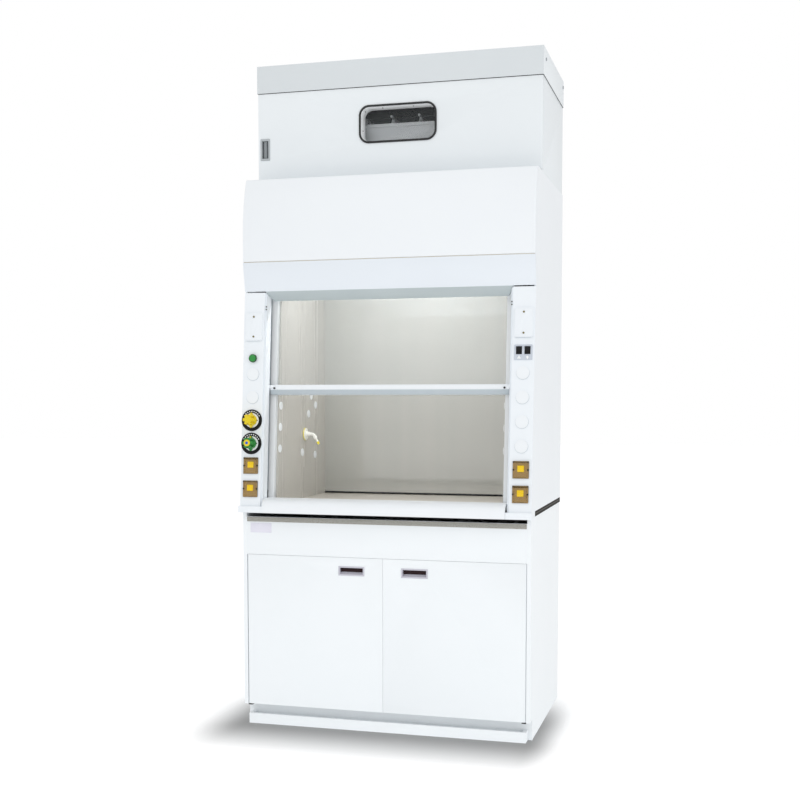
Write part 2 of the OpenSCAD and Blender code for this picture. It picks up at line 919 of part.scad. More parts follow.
module fan_switch() {
    color([0.05, 0.05, 0.05]) rocker(-rocker_x);
}

module light_switch() {
    color([0.05, 0.05, 0.05]) rocker(rocker_x);
}

// Outlet on the left liner: rosette, stem, downward bend and a plain hose tail
module outlet_nozzle() {
    bend_r = 18;
    turn = 60;
    stem = 28;
    tail_len = 36;
    tail_r = 5;
    color([0.95, 0.93, 0.80]) from_wall() translate([-opening_x, -nozzle_at[0], nozzle_at[1]]) {
        rod_x(27, 0, 5);
        rod_x(stem_r, -sheet_t - 14, 0);
        rod_x(12, -sheet_t - 10, -sheet_t);
        rod_x(stem_r, 5, stem);
        translate([stem, 0, -bend_r]) {
            rotate([90, 0, 0]) rotate([0, 0, 90 - turn]) rotate_extrude(angle = turn)
                translate([bend_r, 0]) circle(7);
            rotate([0, turn, 0]) translate([0, 0, bend_r]) rotate([0, 90, 0]) {
                cylinder(r = 7, h = 4);
                translate([0, 0, 4]) cylinder(r = tail_r, h = tail_len);
            }
        }
    }
}

// ---- scrubber ----

module scrubber_shell() {
    base_top = hood_h + wall_t;
    upstand_t = 12;
    upstand_top = base_top + 120;
    upstand_x = inlet_x + upstand_t;
    color(white) difference() {
        from_wall() union() {
            block(-shell_x, shell_x, 0, scrubber_d, hood_h, base_top);
            block(-shell_x, shell_x, 0, wall_t, base_top, cap_low);
            both_sides()
                block(shell_x - wall_t, shell_x, wall_t, scrubber_d - wall_t - 2, base_top, cap_low);
            block(-upstand_x, upstand_x, inlet_back - upstand_t, inlet_back, base_top, upstand_top);
            block(-upstand_x, upstand_x, inlet_front, inlet_front + upstand_t, base_top, upstand_top);
            both_sides() block(inlet_x, upstand_x, inlet_back, inlet_front, base_top, upstand_top);
            translate([hatch_pivot_x, -hatch_pivot_d, base_top]) cylinder(r = hatch_pin_r, h = 14);
        }
        inlet_cut(hood_h - 1, base_top + 1);
    }
}

// Front hatch with the window tunnel welded in; it swings on pins at its right edge
module scrubber_door() {
    tunnel_w = window_w - 2 * ring_w;
    tunnel_h = window_h - 2 * ring_w;
    tunnel_r = window_r - ring_w;
    wall = 5;
    color(white) from_wall() difference() {
        union() {
            block(-shell_x, hatch_pivot_x, scrubber_d - wall_t, scrubber_d, hatch_low, hatch_high);
            translate([hatch_pivot_x, -hatch_pivot_d, hatch_low])
                cylinder(r = wall_t / 2, h = hatch_high - hatch_low);
            translate([window_x, -scrubber_d, window_mid])
                face_plate(tunnel_w + 2 * wall, tunnel_h + 2 * wall, tunnel_r + wall, 0, reveal_d);
        }
        translate([window_x, -scrubber_d, window_mid])
            face_plate(tunnel_w, tunnel_h, tunnel_r, -1, reveal_d + 1);
        translate([hatch_pivot_x, -hatch_pivot_d, 0]) {
            translate([0, 0, hatch_low - 1]) cylinder(r = hatch_pin_r + pin_gap, h = 16);
            translate([0, 0, hatch_high - 14]) cylinder(r = hatch_pin_r + pin_gap, h = 16);
        }
        block(hatch_pull_x - 18, hatch_pull_x + 18, scrubber_d - wall_t - 1, scrubber_d + 1,
            hatch_pull_mid - 40, hatch_pull_mid + 40);
    }
}

module scrubber_pull() {
    color(pull_grey) from_wall() translate([hatch_pull_x, -scrubber_d, hatch_pull_mid]) difference() {
        union() {
            face_plate(42, 90, 4, -1.5, 0);
            post_block(-18, 18, 0, 22, -40, 40);
        }
        post_block(-14, 14, -3, 19, -36, 36);
    }
}

module window_gasket() {
    color([0.05, 0.05, 0.05]) from_wall() translate([window_x, -scrubber_d, window_mid]) difference() {
        face_plate(window_w, window_h, window_r, -3, 0);
        face_plate(window_w - 2 * ring_w, window_h - 2 * ring_w, window_r - ring_w, -4, 1);
    }
}

module window_pane() {
    color([0.75, 0.8, 0.82, 0.35]) from_wall() translate([window_x, -scrubber_d + reveal_d, window_mid])
        face_plate(window_w - 2 * ring_w + 10, window_h - 2 * ring_w + 10, window_r - ring_w + 5, 0, 5);
}

tank_front = 490;
tank_back = 215;
tank_low = hood_h + wall_t;
tank_high = 2476;
tank_x = 560;
tank_t = 8;

// Open-topped tank with a stiffening rim along its front
module scrubber_tank() {
    rim_h = 13;
    color([0.70, 0.72, 0.73]) from_wall() difference() {
        union() {
            block(-tank_x, tank_x, tank_back, tank_front, tank_low, tank_high);
            block(-tank_x, tank_x, tank_front, tank_front + 4, tank_high - rim_h, tank_high);
        }
        block(-tank_x + tank_t, tank_x - tank_t, tank_back + tank_t, tank_front - tank_t,
            tank_low + tank_t, tank_high + 1);
    }
}

// Bed of loose packing, heaped towards the right
module packing() {
    gap = 2;
    bed_low = tank_low + tank_t + 60;
    bed_x = tank_x - tank_t - gap;
    bed_back = tank_back + tank_t + gap;
    bed_front = tank_front - tank_t - gap;
    rail_half = 8;
    color([0.85, 0.86, 0.86]) from_wall() {
        translate([0, -bed_back, 0]) rotate([90, 0, 0]) linear_extrude(bed_front - bed_back) polygon([
            [-bed_x, bed_low], [bed_x, bed_low], [bed_x, tank_high - 6],
            [170, tank_high - 10], [-180, tank_high - 62], [-bed_x, tank_high - 66]]);
        for (x = [-500, -170, 170, 500]) {
            block(x - rail_half, x + rail_half, bed_back + 18, bed_front - 18, tank_low + tank_t, bed_low);
        }
    }
}

// Header pipe at the back with a row of laterals over the packing, each with a spray cone
module spray_pipe() {
    pipe_d = 130;
    pipe_h = 2526;
    lateral_pitch = 120;
    lateral_end = 402;
    first_lateral = -427;
    color([0.80, 0.82, 0.83]) from_wall() translate([0, 0, pipe_h]) {
        translate([0, -pipe_d, 0]) rod_x(12, -shell_x + wall_t, shell_x - wall_t);
        for (k = [0 : 7]) {
            translate([first_lateral + k * lateral_pitch, 0, 0]) {
                rod_y(5, -lateral_end, -pipe_d);
                translate([0, -lateral_end + 30, -24]) cylinder(r1 = 10, r2 = 4, h = 22);
            }
        }
    }
}

// Grey cap with the exhaust spigot; its skirt also holds the hatch's upper hinge pin
module scrubber_lid() {
    cap_d = scrubber_d + 3;
    color(cap_grey) from_wall() {
        difference() {
            block(-half_w, half_w, 0, cap_d, cap_low, scrubber_top);
            block(-half_w + wall_t, half_w - wall_t, wall_t, cap_d - wall_t,
                cap_low - 1, scrubber_top - wall_t);
            translate([0, -scrubber_d / 2, scrubber_top - wall_t - 1])
                cylinder(r = duct_r - 6, h = wall_t + 2, $fn = 96);
        }
        translate([0, -scrubber_d / 2, scrubber_top]) difference() {
            translate([0, 0, -1]) cylinder(r = duct_r + 4, h = collar_h + 1, $fn = 96);
            cylinder(r = duct_r, h = collar_h + 1, $fn = 96);
        }
        translate([hatch_pivot_x, -hatch_pivot_d, hatch_high - 10])
            cylinder(r = hatch_pin_r, h = cap_low - hatch_high + 10);
    }
}

base_left_side();
base_right_side();
base_back();
base_floor();
base_apron();
plinth();
levelling_feet();
left_door();
right_door();
left_door_pull();
right_door_pull();
pivot_brackets();
worktop();
deck();
sill();
left_side();
right_side();
back_panel();
roof_panel();
header_panel();
lower_fascia();
left_post();
right_post();
sash_tracks();
left_liner();
right_liner();
back_baffle();
ceiling_liner();
light_fitting();
sash_glass();
sash_handle();
drive_shaft();
idler_pulleys();
sash_belts();
counterweights();
cover_plates();
hole_blanks();
start_button();
dial_plates();
yellow_knob();
green_knob();
control_valves();
socket_boxes();
left_upper_lid();
left_lower_lid();
right_upper_lid();
right_lower_lid();
switch_panel();
fan_switch();
light_switch();
outlet_nozzle();
scrubber_shell();
scrubber_door();
scrubber_pull();
window_pane();
window_gasket();
scrubber_tank();
packing();
spray_pipe();
scrubber_lid();
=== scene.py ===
import json
import math

import bpy
from mathutils import Matrix, Vector


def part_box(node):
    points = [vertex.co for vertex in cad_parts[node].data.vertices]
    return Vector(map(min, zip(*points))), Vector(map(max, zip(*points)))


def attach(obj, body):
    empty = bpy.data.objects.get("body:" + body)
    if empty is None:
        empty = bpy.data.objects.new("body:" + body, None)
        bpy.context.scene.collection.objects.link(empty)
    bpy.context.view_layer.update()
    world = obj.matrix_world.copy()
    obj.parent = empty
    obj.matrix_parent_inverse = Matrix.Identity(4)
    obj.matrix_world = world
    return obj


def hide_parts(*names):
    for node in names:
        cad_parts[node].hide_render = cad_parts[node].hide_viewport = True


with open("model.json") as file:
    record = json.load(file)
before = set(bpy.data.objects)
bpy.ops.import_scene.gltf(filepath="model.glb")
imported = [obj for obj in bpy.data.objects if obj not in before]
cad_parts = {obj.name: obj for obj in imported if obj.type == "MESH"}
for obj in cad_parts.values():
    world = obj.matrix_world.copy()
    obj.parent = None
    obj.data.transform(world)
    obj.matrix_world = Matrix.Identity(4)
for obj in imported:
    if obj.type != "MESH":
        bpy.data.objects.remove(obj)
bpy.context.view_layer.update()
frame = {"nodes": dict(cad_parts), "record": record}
print("frame loaded:", len(frame["nodes"]), "nodes")

bodyOfNode = {n: b for b, nodes in frame["record"]["behaviour"]["bodies"].items() for n in nodes}

# Depths are counted forward from the wall plane behind the hood, all in millimetres
placing = {
    "footDepth": 797,
    "headDepth": 724,
    "headHeight": 1776,
    "benchTop": 907,
    "controlX": 556,
}
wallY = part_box("back_panel")[1].y
lean = math.atan2(placing["footDepth"] - placing["headDepth"], placing["headHeight"] - placing["benchTop"])


def fromWall(x, depth, height):
    return Vector((x / 1000, wallY - depth / 1000, height / 1000))


def onPost(x, along):
    foot = fromWall(0, placing["footDepth"], placing["benchTop"])
    leaning = Matrix.Translation(foot) @ Matrix.Rotation(-lean, 4, "X")
    return leaning @ Matrix.Translation((x / 1000, 0, along / 1000))


# ---- materials ----

texture = {
    "grainBump": 0.4,
    "mouldedCloud": 28.0,
    "mouldedSpread": 0.05,
    "mouldedDepth": 0.03,
    "sheetCloud": 4.0,
    "sheetSpread": 0.04,
    "sheetPitch": 3.5,
    "sheetDepth": 0.02,
}


def toLinear(hexColour):
    parts = [int(hexColour[i : i + 2], 16) / 255 for i in (1, 3, 5)]
    return tuple(c / 12.92 if c <= 0.04045 else ((c + 0.055) / 1.055) ** 2.4 for c in parts) + (1,)


def addNode(material, kind, values, links):
    node = material.node_tree.nodes.new(kind)
    for name, value in values.items():
        if name in node.inputs:
            node.inputs[name].default_value = value
        else:
            setattr(node, name, value)
    for name, source in links.items():
        material.node_tree.links.new(source, node.inputs[name])
    return node


def surface(name, colour, roughness, more=None):
    material = bpy.data.materials.new(name)
    material.use_nodes = True
    material.node_tree.nodes.clear()
    values = {"Base Color": toLinear(colour), "Roughness": roughness}
    values.update(more or {})
    shader = addNode(material, "ShaderNodeBsdfPrincipled", values, {})
    addNode(material, "ShaderNodeOutputMaterial", {}, {"Surface": shader.outputs["BSDF"]})
    return material, shader


def plug(material, source, shader, name):
    material.node_tree.links.new(source, shader.inputs[name])


def objectPlace(material):
    return addNode(material, "ShaderNodeTexCoord", {}, {}).outputs["Object"]


def squeezed(material, scale):
    mapping = addNode(material, "ShaderNodeMapping", {"Scale": scale}, {"Vector": objectPlace(material)})
    return mapping.outputs["Vector"]


def noise(material, place, scale, detail):
    values = {"Scale": scale, "Detail": detail}
    return addNode(material, "ShaderNodeTexNoise", values, {"Vector": place}).outputs["Fac"]


def ranged(material, source, start, end, low=0.0, high=1.0):
    values = {"From Min": start, "From Max": end, "To Min": low, "To Max": high}
    return addNode(material, "ShaderNodeMapRange", values, {"Value": source}).outputs["Result"]


def bumped(material, shader, height, strength, distance):
    values = {"Strength": strength, "Distance": distance / 1000}
    bump = addNode(material, "ShaderNodeBump", values, {"Height": height})
    plug(material, bump.outputs["Normal"], shader, "Normal")


def mixedTone(material, shader, factor, colour, shade):
    tone = addNode(material, "ShaderNodeMix", {"data_type": "RGBA"}, {"Factor": factor})
    tone.inputs[6].default_value = toLinear(colour)
    tone.inputs[7].default_value = toLinear(shade)
    plug(material, tone.outputs[2], shader, "Base Color")


def grained(material, shader, place, roughness, spread, pitch, depth):
    # fine grain of the given pitch and depth in millimetres, in the gloss and in the bump
    grain = noise(material, place, 1000 / pitch, 2.0)
    gloss = ranged(material, grain, 0.3, 0.7, roughness - spread, roughness + spread)
    plug(material, gloss, shader, "Roughness")
    bumped(material, shader, grain, texture["grainBump"], depth)


def moulded(name, colour, shade, roughness, pitch=1.2, more=None):
    # moulded or painted finish: cloudy tone over a few centimetres and a fine grain
    material, shader = surface(name, colour, roughness, more)
    place = objectPlace(material)
    mixedTone(material, shader, noise(material, place, texture["mouldedCloud"], 3.0), colour, shade)
    grained(material, shader, place, roughness, texture["mouldedSpread"], pitch, texture["mouldedDepth"])
    return material


def sheetPlastic(name, colour, shade, roughness):
    # extruded sheet: broad, faint unevenness in tone and a soft leathery gloss
    material, shader = surface(name, colour, roughness, {"IOR": 1.49})
    place = objectPlace(material)
    mixedTone(material, shader, noise(material, place, texture["sheetCloud"], 2.0), colour, shade)
    spread, pitch, depth = texture["sheetSpread"], texture["sheetPitch"], texture["sheetDepth"]
    grained(material, shader, place, roughness, spread, pitch, depth)
    return material


def streakedLiner(name, colour, shade, roughness, across, ior):
    # phenolic liner: vertical streaks about 60 mm apart left by wiping down
    material, shader = surface(name, colour, roughness, {"IOR": ior})
    streak = ranged(material, noise(material, squeezed(material, across), 1.0, 1.0), 0.35, 0.65)
    mixedTone(material, shader, streak, colour, shade)
    gloss = ranged(material, streak, 0.0, 1.0, roughness - 0.01, roughness + 0.02)
    plug(material, gloss, shader, "Roughness")
    return material


def brushedMetal(name, colour, shade, roughness, along):
    # metal drawn or brushed one way, with scratches a few millimetres apart or closer
    material, shader = surface(name, colour, roughness, {"Metallic": 1.0})
    scratch = noise(material, squeezed(material, along), 1.0, 4.0)
    mixedTone(material, shader, scratch, colour, shade)
    gloss = ranged(material, scratch, 0.0, 1.0, roughness - 0.1, roughness + 0.12)
    plug(material, gloss, shader, "Roughness")
    return material


def clearSheet(name, colour, alpha, roughness, ior):
    # glass or clear plastic with faint wipe marks in its gloss
    material, shader = surface(name, colour, roughness, {"Alpha": alpha, "IOR": ior})
    values = {"Scale": 7.0, "Detail": 2.0, "Distortion": 0.6}
    wipe = addNode(material, "ShaderNodeTexNoise", values, {"Vector": objectPlace(material)})
    gloss = ranged(material, wipe.outputs["Fac"], 0.4, 0.7, roughness, roughness + 0.06)
    plug(material, gloss, shader, "Roughness")
    return material


def speckled(name, colour, speck, roughness, pitch, share, more=None):
    # flecks of the second colour, at the pitch in millimetres, over a share of the surface
    material, shader = surface(name, colour, roughness, more)
    fleck = noise(material, objectPlace(material), 1000 / pitch, 2.0)
    mixedTone(material, shader, ranged(material, fleck, 0.62 - share, 0.70 - share), colour, speck)
    return material


def looseRings(name, colour, gapShade, pitch):
    # tumbled packing rings: pale cells with near-black painted shade in the gaps between them
    material, shader = surface(name, colour, 0.6)
    values = {"Scale": 1000 / pitch, "feature": "DISTANCE_TO_EDGE"}
    voronoi = addNode(material, "ShaderNodeTexVoronoi", values, {"Vector": objectPlace(material)})
    cells = voronoi.outputs["Distance"]
    mixedTone(material, shader, ranged(material, cells, 0.02, 0.16, 1.0, 0.0), colour, gapShade)
    bumped(material, shader, cells, 0.8, 6)
    return material


finishes = {
    "weldedPolypropylene": sheetPlastic("weldedPolypropylene", "#EFF3F6", "#ECF0F4", 0.42),
    "fasciaPolypropylene": sheetPlastic("fasciaPolypropylene", "#E7EDF3", "#E4EAF1", 0.42),
    "postPolypropylene": sheetPlastic("postPolypropylene", "#EEF3F7", "#EBF0F5", 0.40),
    "scrubberPolypropylene": sheetPlastic("scrubberPolypropylene", "#E9EEF1", "#E6EBEE", 0.45),
    # near-black painted shade for the scrubber's insides
    "wetPolypropylene": sheetPlastic("wetPolypropylene", "#23292C", "#1B2023", 0.40),
    # a whiter white for the window's reveal: painted light
    "revealPolypropylene": sheetPlastic("revealPolypropylene", "#FCFDFE", "#F8FAFB", 0.40),
    "seamGasket": moulded("seamGasket", "#CFC6B2", "#C2B8A2", 0.6),
    # grey speckled painted shade for the band under the sill's overhang
    "sealingRail": speckled("sealingRail", "#A3A29C", "#8C8A80", 0.6, 4.0, 0.10),
    "capPolypropylene": sheetPlastic("capPolypropylene", "#D8DDE0", "#D4DADD", 0.45),
    "laminateBoard": sheetPlastic("laminateBoard", "#F2F6F9", "#EFF4F7", 0.35),
    # darker grey painted shade for the soffit bevel under the fascia
    "soffitPolypropylene": sheetPlastic("soffitPolypropylene", "#BFC9CC", "#B7C2C5", 0.35),
    "phenolicLiner": streakedLiner("phenolicLiner", "#C6C4BE", "#C2C0BA", 0.26, (16, 16, 0.5), 1.5),
    "phenolicBaffle": streakedLiner("phenolicBaffle", "#BDBDB8", "#B9BAB5", 0.07, (12, 12, 0.4), 1.9),
    "epoxyDeck": speckled("epoxyDeck", "#D6D1C8", "#C4BEB4", 0.30, 3.0, 0.08, {"IOR": 1.55}),
    "slabCore": speckled("slabCore", "#1A1712", "#2A261E", 0.7, 2.5, 0.08, {"Specular IOR Level": 0.2}),
    "slabGlueLine": moulded("slabGlueLine", "#4A4740", "#3E3B35", 0.7),
    "zincSteel": brushedMetal("zincSteel", "#BEC2C6", "#A6AAAE", 0.35, (40, 400, 400)),
    "pullPlastic": moulded("pullPlastic", "#C9C8D2", "#C2C1CC", 0.35),
    # dark maroon painted shade inside the doors' pull scoops
    "pullRecess": moulded("pullRecess", "#2E161B", "#221014", 0.5, 1.2, {"Specular IOR Level": 0.2}),
    "hatchPullPlastic": moulded("hatchPullPlastic", "#B4BABD", "#ACB2B5", 0.4),
    # mid-grey painted shade inside the hatch pull
    "hatchPullRecess": moulded("hatchPullRecess", "#8B9194", "#81878A", 0.5),
    "blackSteel": moulded("blackSteel", "#2B2A2A", "#242322", 0.45),
    "guideStrip": moulded("guideStrip", "#EFF2F4", "#EAEEF0", 0.4),
    "powderCoat": moulded("powderCoat", "#EEF2F6", "#EAEFF3", 0.35, 0.8),
    # blue-grey painted shade, for the sash handle's lower band and for the slots beside the glass channels
    "gripShade": moulded("gripShade", "#BBC5CB", "#B3BEC5", 0.4, 0.8),
    "opalPlastic": moulded("opalPlastic", "#F4F4EE", "#EFEFE8", 0.3),
    "floatGlass": clearSheet("floatGlass", "#E8EEF0", 0.08, 0.03, 1.45),
    "hatchGlass": clearSheet("hatchGlass", "#E8EEF0", 0.03, 0.05, 1.2),
    "blackRubber": moulded("blackRubber", "#141416", "#1E1E20", 0.55, 0.6),
    "greenPlastic": moulded("greenPlastic", "#2F8A3C", "#298136", 0.28),
    "buttonGreen": moulded("buttonGreen", "#2E9440", "#278A38", 0.22),
    "yellowPlastic": moulded("yellowPlastic", "#EAD21A", "#E2C912", 0.28),
    "outletYellow": moulded("outletYellow", "#FFF04A", "#FBEA40", 0.28),
    # darker green painted shade for the start button's edge
    "buttonRim": moulded("buttonRim", "#0E3F17", "#0B3612", 0.35),
    # darker grey painted shade under the cover plates and hole blanks
    "blankEdge": moulded("blankEdge", "#CBD3D9", "#C5CED4", 0.45),
    "bluePlastic": moulded("bluePlastic", "#1A5FD0", "#1757C2", 0.28),
    "blackPlastic": moulded("blackPlastic", "#08080B", "#0E0E11", 0.40, 1.2, {"Specular IOR Level": 0.25}),
    "whitePrint": moulded("whitePrint", "#F5F7F8", "#F0F3F4", 0.35),
    "darkSocket": moulded("darkSocket", "#463A29", "#3D3222", 0.5),
    "tanSocket": moulded("tanSocket", "#A0855A", "#957A50", 0.5),
    "socketYellow": moulded("socketYellow", "#FFD90A", "#F7D000", 0.35),
    "amberCover": clearSheet("amberCover", "#B8963C", 0.06, 0.10, 1.2),
    "switchPlastic": moulded("switchPlastic", "#C9D0DA", "#C3CAD5", 0.4),
    "labelFilm": moulded("labelFilm", "#E6E5F0", "#DEDDEA", 0.3),
    "nozzleEpoxy": moulded("nozzleEpoxy", "#FFFFFA", "#FCFCF5", 0.3),
    "tankPolypropylene": moulded("tankPolypropylene", "#E4E8EA", "#DDE1E4", 0.5, 2.0, {"Alpha": 0.4}),
    "pipePolypropylene": moulded("pipePolypropylene", "#E2E6E8", "#DADFE1", 0.5),
    # the packing's gaps are painted shade
    "castRings": looseRings("castRings", "#E6EAEC", "#202426", 15),
    "valveBrass": brushedMetal("valveBrass", "#B99A5B", "#A3864A", 0.35, (300, 40, 300)),
    "screwBrass": brushedMetal("screwBrass", "#8F8459", "#756B45", 0.4, (300, 300, 60)),
}

nodeFinishes = {
    "laminateBoard": [
        "base_left_side", "base_right_side", "base_back", "base_floor", "base_apron", "plinth", "left_door",
        "right_door",
    ],
    "weldedPolypropylene": [
        "left_side", "right_side", "back_panel", "roof_panel", "header_panel", "sill", "hole_blanks",
    ],
    "fasciaPolypropylene": ["lower_fascia"],
    "postPolypropylene": ["left_post", "right_post", "cover_plates"],
    "scrubberPolypropylene": ["scrubber_shell", "scrubber_door"],
    "capPolypropylene": ["scrubber_lid"],
    "phenolicLiner": ["left_liner", "right_liner", "ceiling_liner"],
    "phenolicBaffle": ["back_baffle"],
    "epoxyDeck": ["deck"],
    "slabCore": ["worktop"],
    "zincSteel": ["levelling_feet", "drive_shaft", "idler_pulleys", "counterweights"],
    "pullPlastic": ["left_door_pull", "right_door_pull"],
    "hatchPullPlastic": ["scrubber_pull"],
    "blackSteel": ["pivot_brackets"],
    "guideStrip": ["sash_tracks"],
    "powderCoat": ["sash_handle"],
    "opalPlastic": ["light_fitting"],
    "floatGlass": ["sash_glass"],
    "hatchGlass": ["window_pane"],
    "blackRubber": ["sash_belts", "window_gasket"],
    "buttonGreen": ["start_button"],
    "blackPlastic": ["dial_plates", "fan_switch", "light_switch"],
    "yellowPlastic": ["yellow_knob"],
    "greenPlastic": ["green_knob"],
    "valveBrass": ["control_valves"],
    "darkSocket": ["socket_boxes"],
    "amberCover": ["left_upper_lid", "left_lower_lid", "right_upper_lid", "right_lower_lid"],
    "switchPlastic": ["switch_panel"],
    "nozzleEpoxy": ["outlet_nozzle"],
    "tankPolypropylene": ["scrubber_tank"],
    "pipePolypropylene": ["spray_pipe"],
    "castRings": ["packing"],
}
for finish, nodes in nodeFinishes.items():
    for node in nodes:
        mesh = frame["nodes"][node].data
        mesh.materials.clear()
        mesh.materials.append(finishes[finish])
print("materials given to", sum(len(n) for n in nodeFinishes.values()), "nodes")


# ---- modelling helpers ----


def pick(piece):
    bpy.ops.object.select_all(action="DESELECT")
    piece.select_set(True)
    bpy.context.view_layer.objects.active = piece


def wear(piece, finish):
    piece.data.materials.clear()
    piece.data.materials.append(finishes[finish])


def roundEdges(piece, width, segments=2, sharp=30):
    pick(piece)
    edge = piece.modifiers.new("edge", "BEVEL")
    edge.width = width / 1000
    edge.segments = segments
    edge.limit_method = "ANGLE"
    edge.angle_limit = math.radians(sharp)
    bpy.ops.object.modifier_apply(modifier="edge")
    bpy.ops.object.shade_smooth_by_angle(angle=math.radians(35))


def settle(piece, matrix, body):
    pick(piece)
    piece.matrix_world = matrix @ piece.matrix_world
    bpy.ops.object.transform_apply(location=True, rotation=True, scale=True)
    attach(piece, body)


def block(name, finish, size, centre):
    bpy.ops.object.select_all(action="DESELECT")
    bpy.ops.mesh.primitive_cube_add(size=1, location=[c / 1000 for c in centre])
    piece = bpy.context.object
    piece.name = name
    piece.scale = [s / 1000 for s in size]
    bpy.ops.object.transform_apply(location=True, rotation=True, scale=True)
    wear(piece, finish)
    return piece


def disc(name, finish, radius, front, back, at=(0, 0), sides=48):
    # a cylinder along the depth, from front to back, with its middle at (x, z)
    bpy.ops.object.select_all(action="DESELECT")
    bpy.ops.mesh.primitive_cylinder_add(
        vertices=sides,
        radius=radius / 1000,
        depth=(back - front) / 1000,
        location=(at[0] / 1000, (front + back) / 2000, at[1] / 1000),
        rotation=(math.pi / 2, 0, 0),
    )
    piece = bpy.context.object
    piece.name = name
    bpy.ops.object.transform_apply(location=True, rotation=True, scale=True)
    wear(piece, finish)
    return piece


def selectFaces(piece, wanted):
    bpy.ops.object.mode_set(mode="EDIT")
    bpy.ops.mesh.select_mode(type="FACE")
    bpy.ops.mesh.select_all(action="DESELECT")
    bpy.ops.object.mode_set(mode="OBJECT")
    for face in piece.data.polygons:
        face.select = wanted(face)
    bpy.ops.object.mode_set(mode="EDIT")


def frontFace(face):
    return face.normal.y < -0.99


def stepOut(piece, inset, rise):
    # insets the foremost face and pulls it towards the user
    pick(piece)
    nearest = min(f.center.y for f in piece.data.polygons)
    selectFaces(piece, lambda f: frontFace(f) and f.center.y < nearest + 1e-6)
    if inset:
        bpy.ops.mesh.inset(thickness=inset / 1000, depth=0)
    if rise:
        bpy.ops.mesh.extrude_region_move(TRANSFORM_OT_translate={"value": (0, -rise / 1000, 0)})
    bpy.ops.object.mode_set(mode="OBJECT")


def joined(name, pieces):
    bpy.ops.object.select_all(action="DESELECT")
    for piece in pieces:
        piece.select_set(True)
    bpy.context.view_layer.objects.active = pieces[0]
    bpy.ops.object.join()
    whole = bpy.context.object
    whole.name = name
    return whole


def raisedDisc(name, finish, radius, front, back, sides, inset, rise, edge=0.0, segments=1):
    # a disc with a raised middle and, where an edge is given, eased edges
    piece = disc(name, finish, radius, front, back, sides=sides)
    stepOut(piece, inset, rise)
    if edge:
        roundEdges(piece, edge, segments)
    return piece


def raisedBlock(name, finish, size, centre, inset, rise, edge, segments=1):
    # a block with a raised middle and eased edges
    piece = block(name, finish, size, centre)
    stepOut(piece, inset, rise)
    roundEdges(piece, edge, segments)
    return piece


def subdivided(piece, cuts):
    pick(piece)
    bpy.ops.object.mode_set(mode="EDIT")
    bpy.ops.mesh.select_all(action="SELECT")
    bpy.ops.mesh.subdivide(number_cuts=cuts)
    bpy.ops.object.mode_set(mode="OBJECT")


def softened(node, finish, width, segments):
    # a copy of a CAD node with its sharp edges eased by the width in millimetres
    mesh = frame["nodes"][node].data.copy()
    piece = bpy.data.objects.new(node + "Eased", mesh)
    bpy.context.collection.objects.link(piece)
    pick(piece)
    bpy.ops.object.mode_set(mode="EDIT")
    bpy.ops.mesh.select_all(action="SELECT")
    bpy.ops.mesh.remove_doubles(threshold=0.00001)
    bpy.ops.mesh.dissolve_limited(angle_limit=math.radians(0.2))
    bpy.ops.object.mode_set(mode="OBJECT")
    bpy.ops.mesh.customdata_custom_splitnormals_clear()
    roundEdges(piece, width, segments)
    wear(piece, finish)
    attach(piece, bodyOfNode[node])
    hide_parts(node)
    return piece


easedEdges = {
    "header_panel": ("weldedPolypropylene", 3.5, 3),
    "lower_fascia": ("fasciaPolypropylene", 1.5, 2),
    "left_door": ("laminateBoard", 1.5, 2),
    "right_door": ("laminateBoard", 1.5, 2),
    "base_apron": ("laminateBoard", 1.5, 2),
    "scrubber_lid": ("capPolypropylene", 2.0, 2),
    "scrubber_shell": ("scrubberPolypropylene", 1.5, 2),
    "scrubber_door": ("scrubberPolypropylene", 1.5, 2),
    "sash_handle": ("powderCoat", 1.2, 2),
    "deck": ("epoxyDeck", 1.5, 2),
    "plinth": ("laminateBoard", 1.5, 2),
    "cover_plates": ("postPolypropylene", 1.2, 2),
}
eased = {node: softened(node, *values) for node, values in easedEdges.items()}


def wearAlso(piece, finish, wanted):
    # the faces that the test picks get another finish
    piece.data.materials.append(finishes[finish])
    for face in piece.data.polygons:
        if wanted(face):
            face.material_index = len(piece.data.materials) - 1


def insideOf(node, skin):
    low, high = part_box(node)
    return lambda f: all(low[k] + skin / 1000 < f.center[k] < high[k] - skin / 1000 for k in range(3))


windowMiddle = fromWall(6, 570, 2460)
hatchSkin = fromWall(0, 559.5, 0).y
revealDepth = 0.03
revealHalf = 0.2
capTop = 2.717
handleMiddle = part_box("sash_handle")[0].z + 0.021
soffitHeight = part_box("lower_fascia")[0].z + 0.036
lidInside = insideOf("scrubber_lid", 5)


def reveal(face):
    # the faces round the window's opening, which look towards its middle
    across = face.center - windowMiddle
    near = face.center.y > hatchSkin - revealDepth and abs(face.normal.y) < 0.5 and abs(across.x) < revealHalf
    return near and across.x * face.normal.x + across.z * face.normal.z <= 0


wearAlso(eased["scrubber_lid"], "scrubberPolypropylene", lambda f: f.normal.y > -0.6)
# the insides of the cap, shell and hatch get a near-black: painted shade
wearAlso(eased["scrubber_lid"], "wetPolypropylene", lambda f: lidInside(f) and f.center.z < capTop)
wearAlso(eased["scrubber_shell"], "wetPolypropylene", insideOf("scrubber_shell", 8))
wearAlso(eased["scrubber_door"], "wetPolypropylene", lambda f: f.center.y > hatchSkin)
# the reveal's faces get a whiter copy of the hatch's white: painted light
wearAlso(eased["scrubber_door"], "revealPolypropylene", reveal)
# the handle's lower band, which slopes back and down, gets a blue-grey: painted shade
wearAlso(eased["sash_handle"], "gripShade", lambda f: f.center.z < handleMiddle and f.normal.y < -0.5)
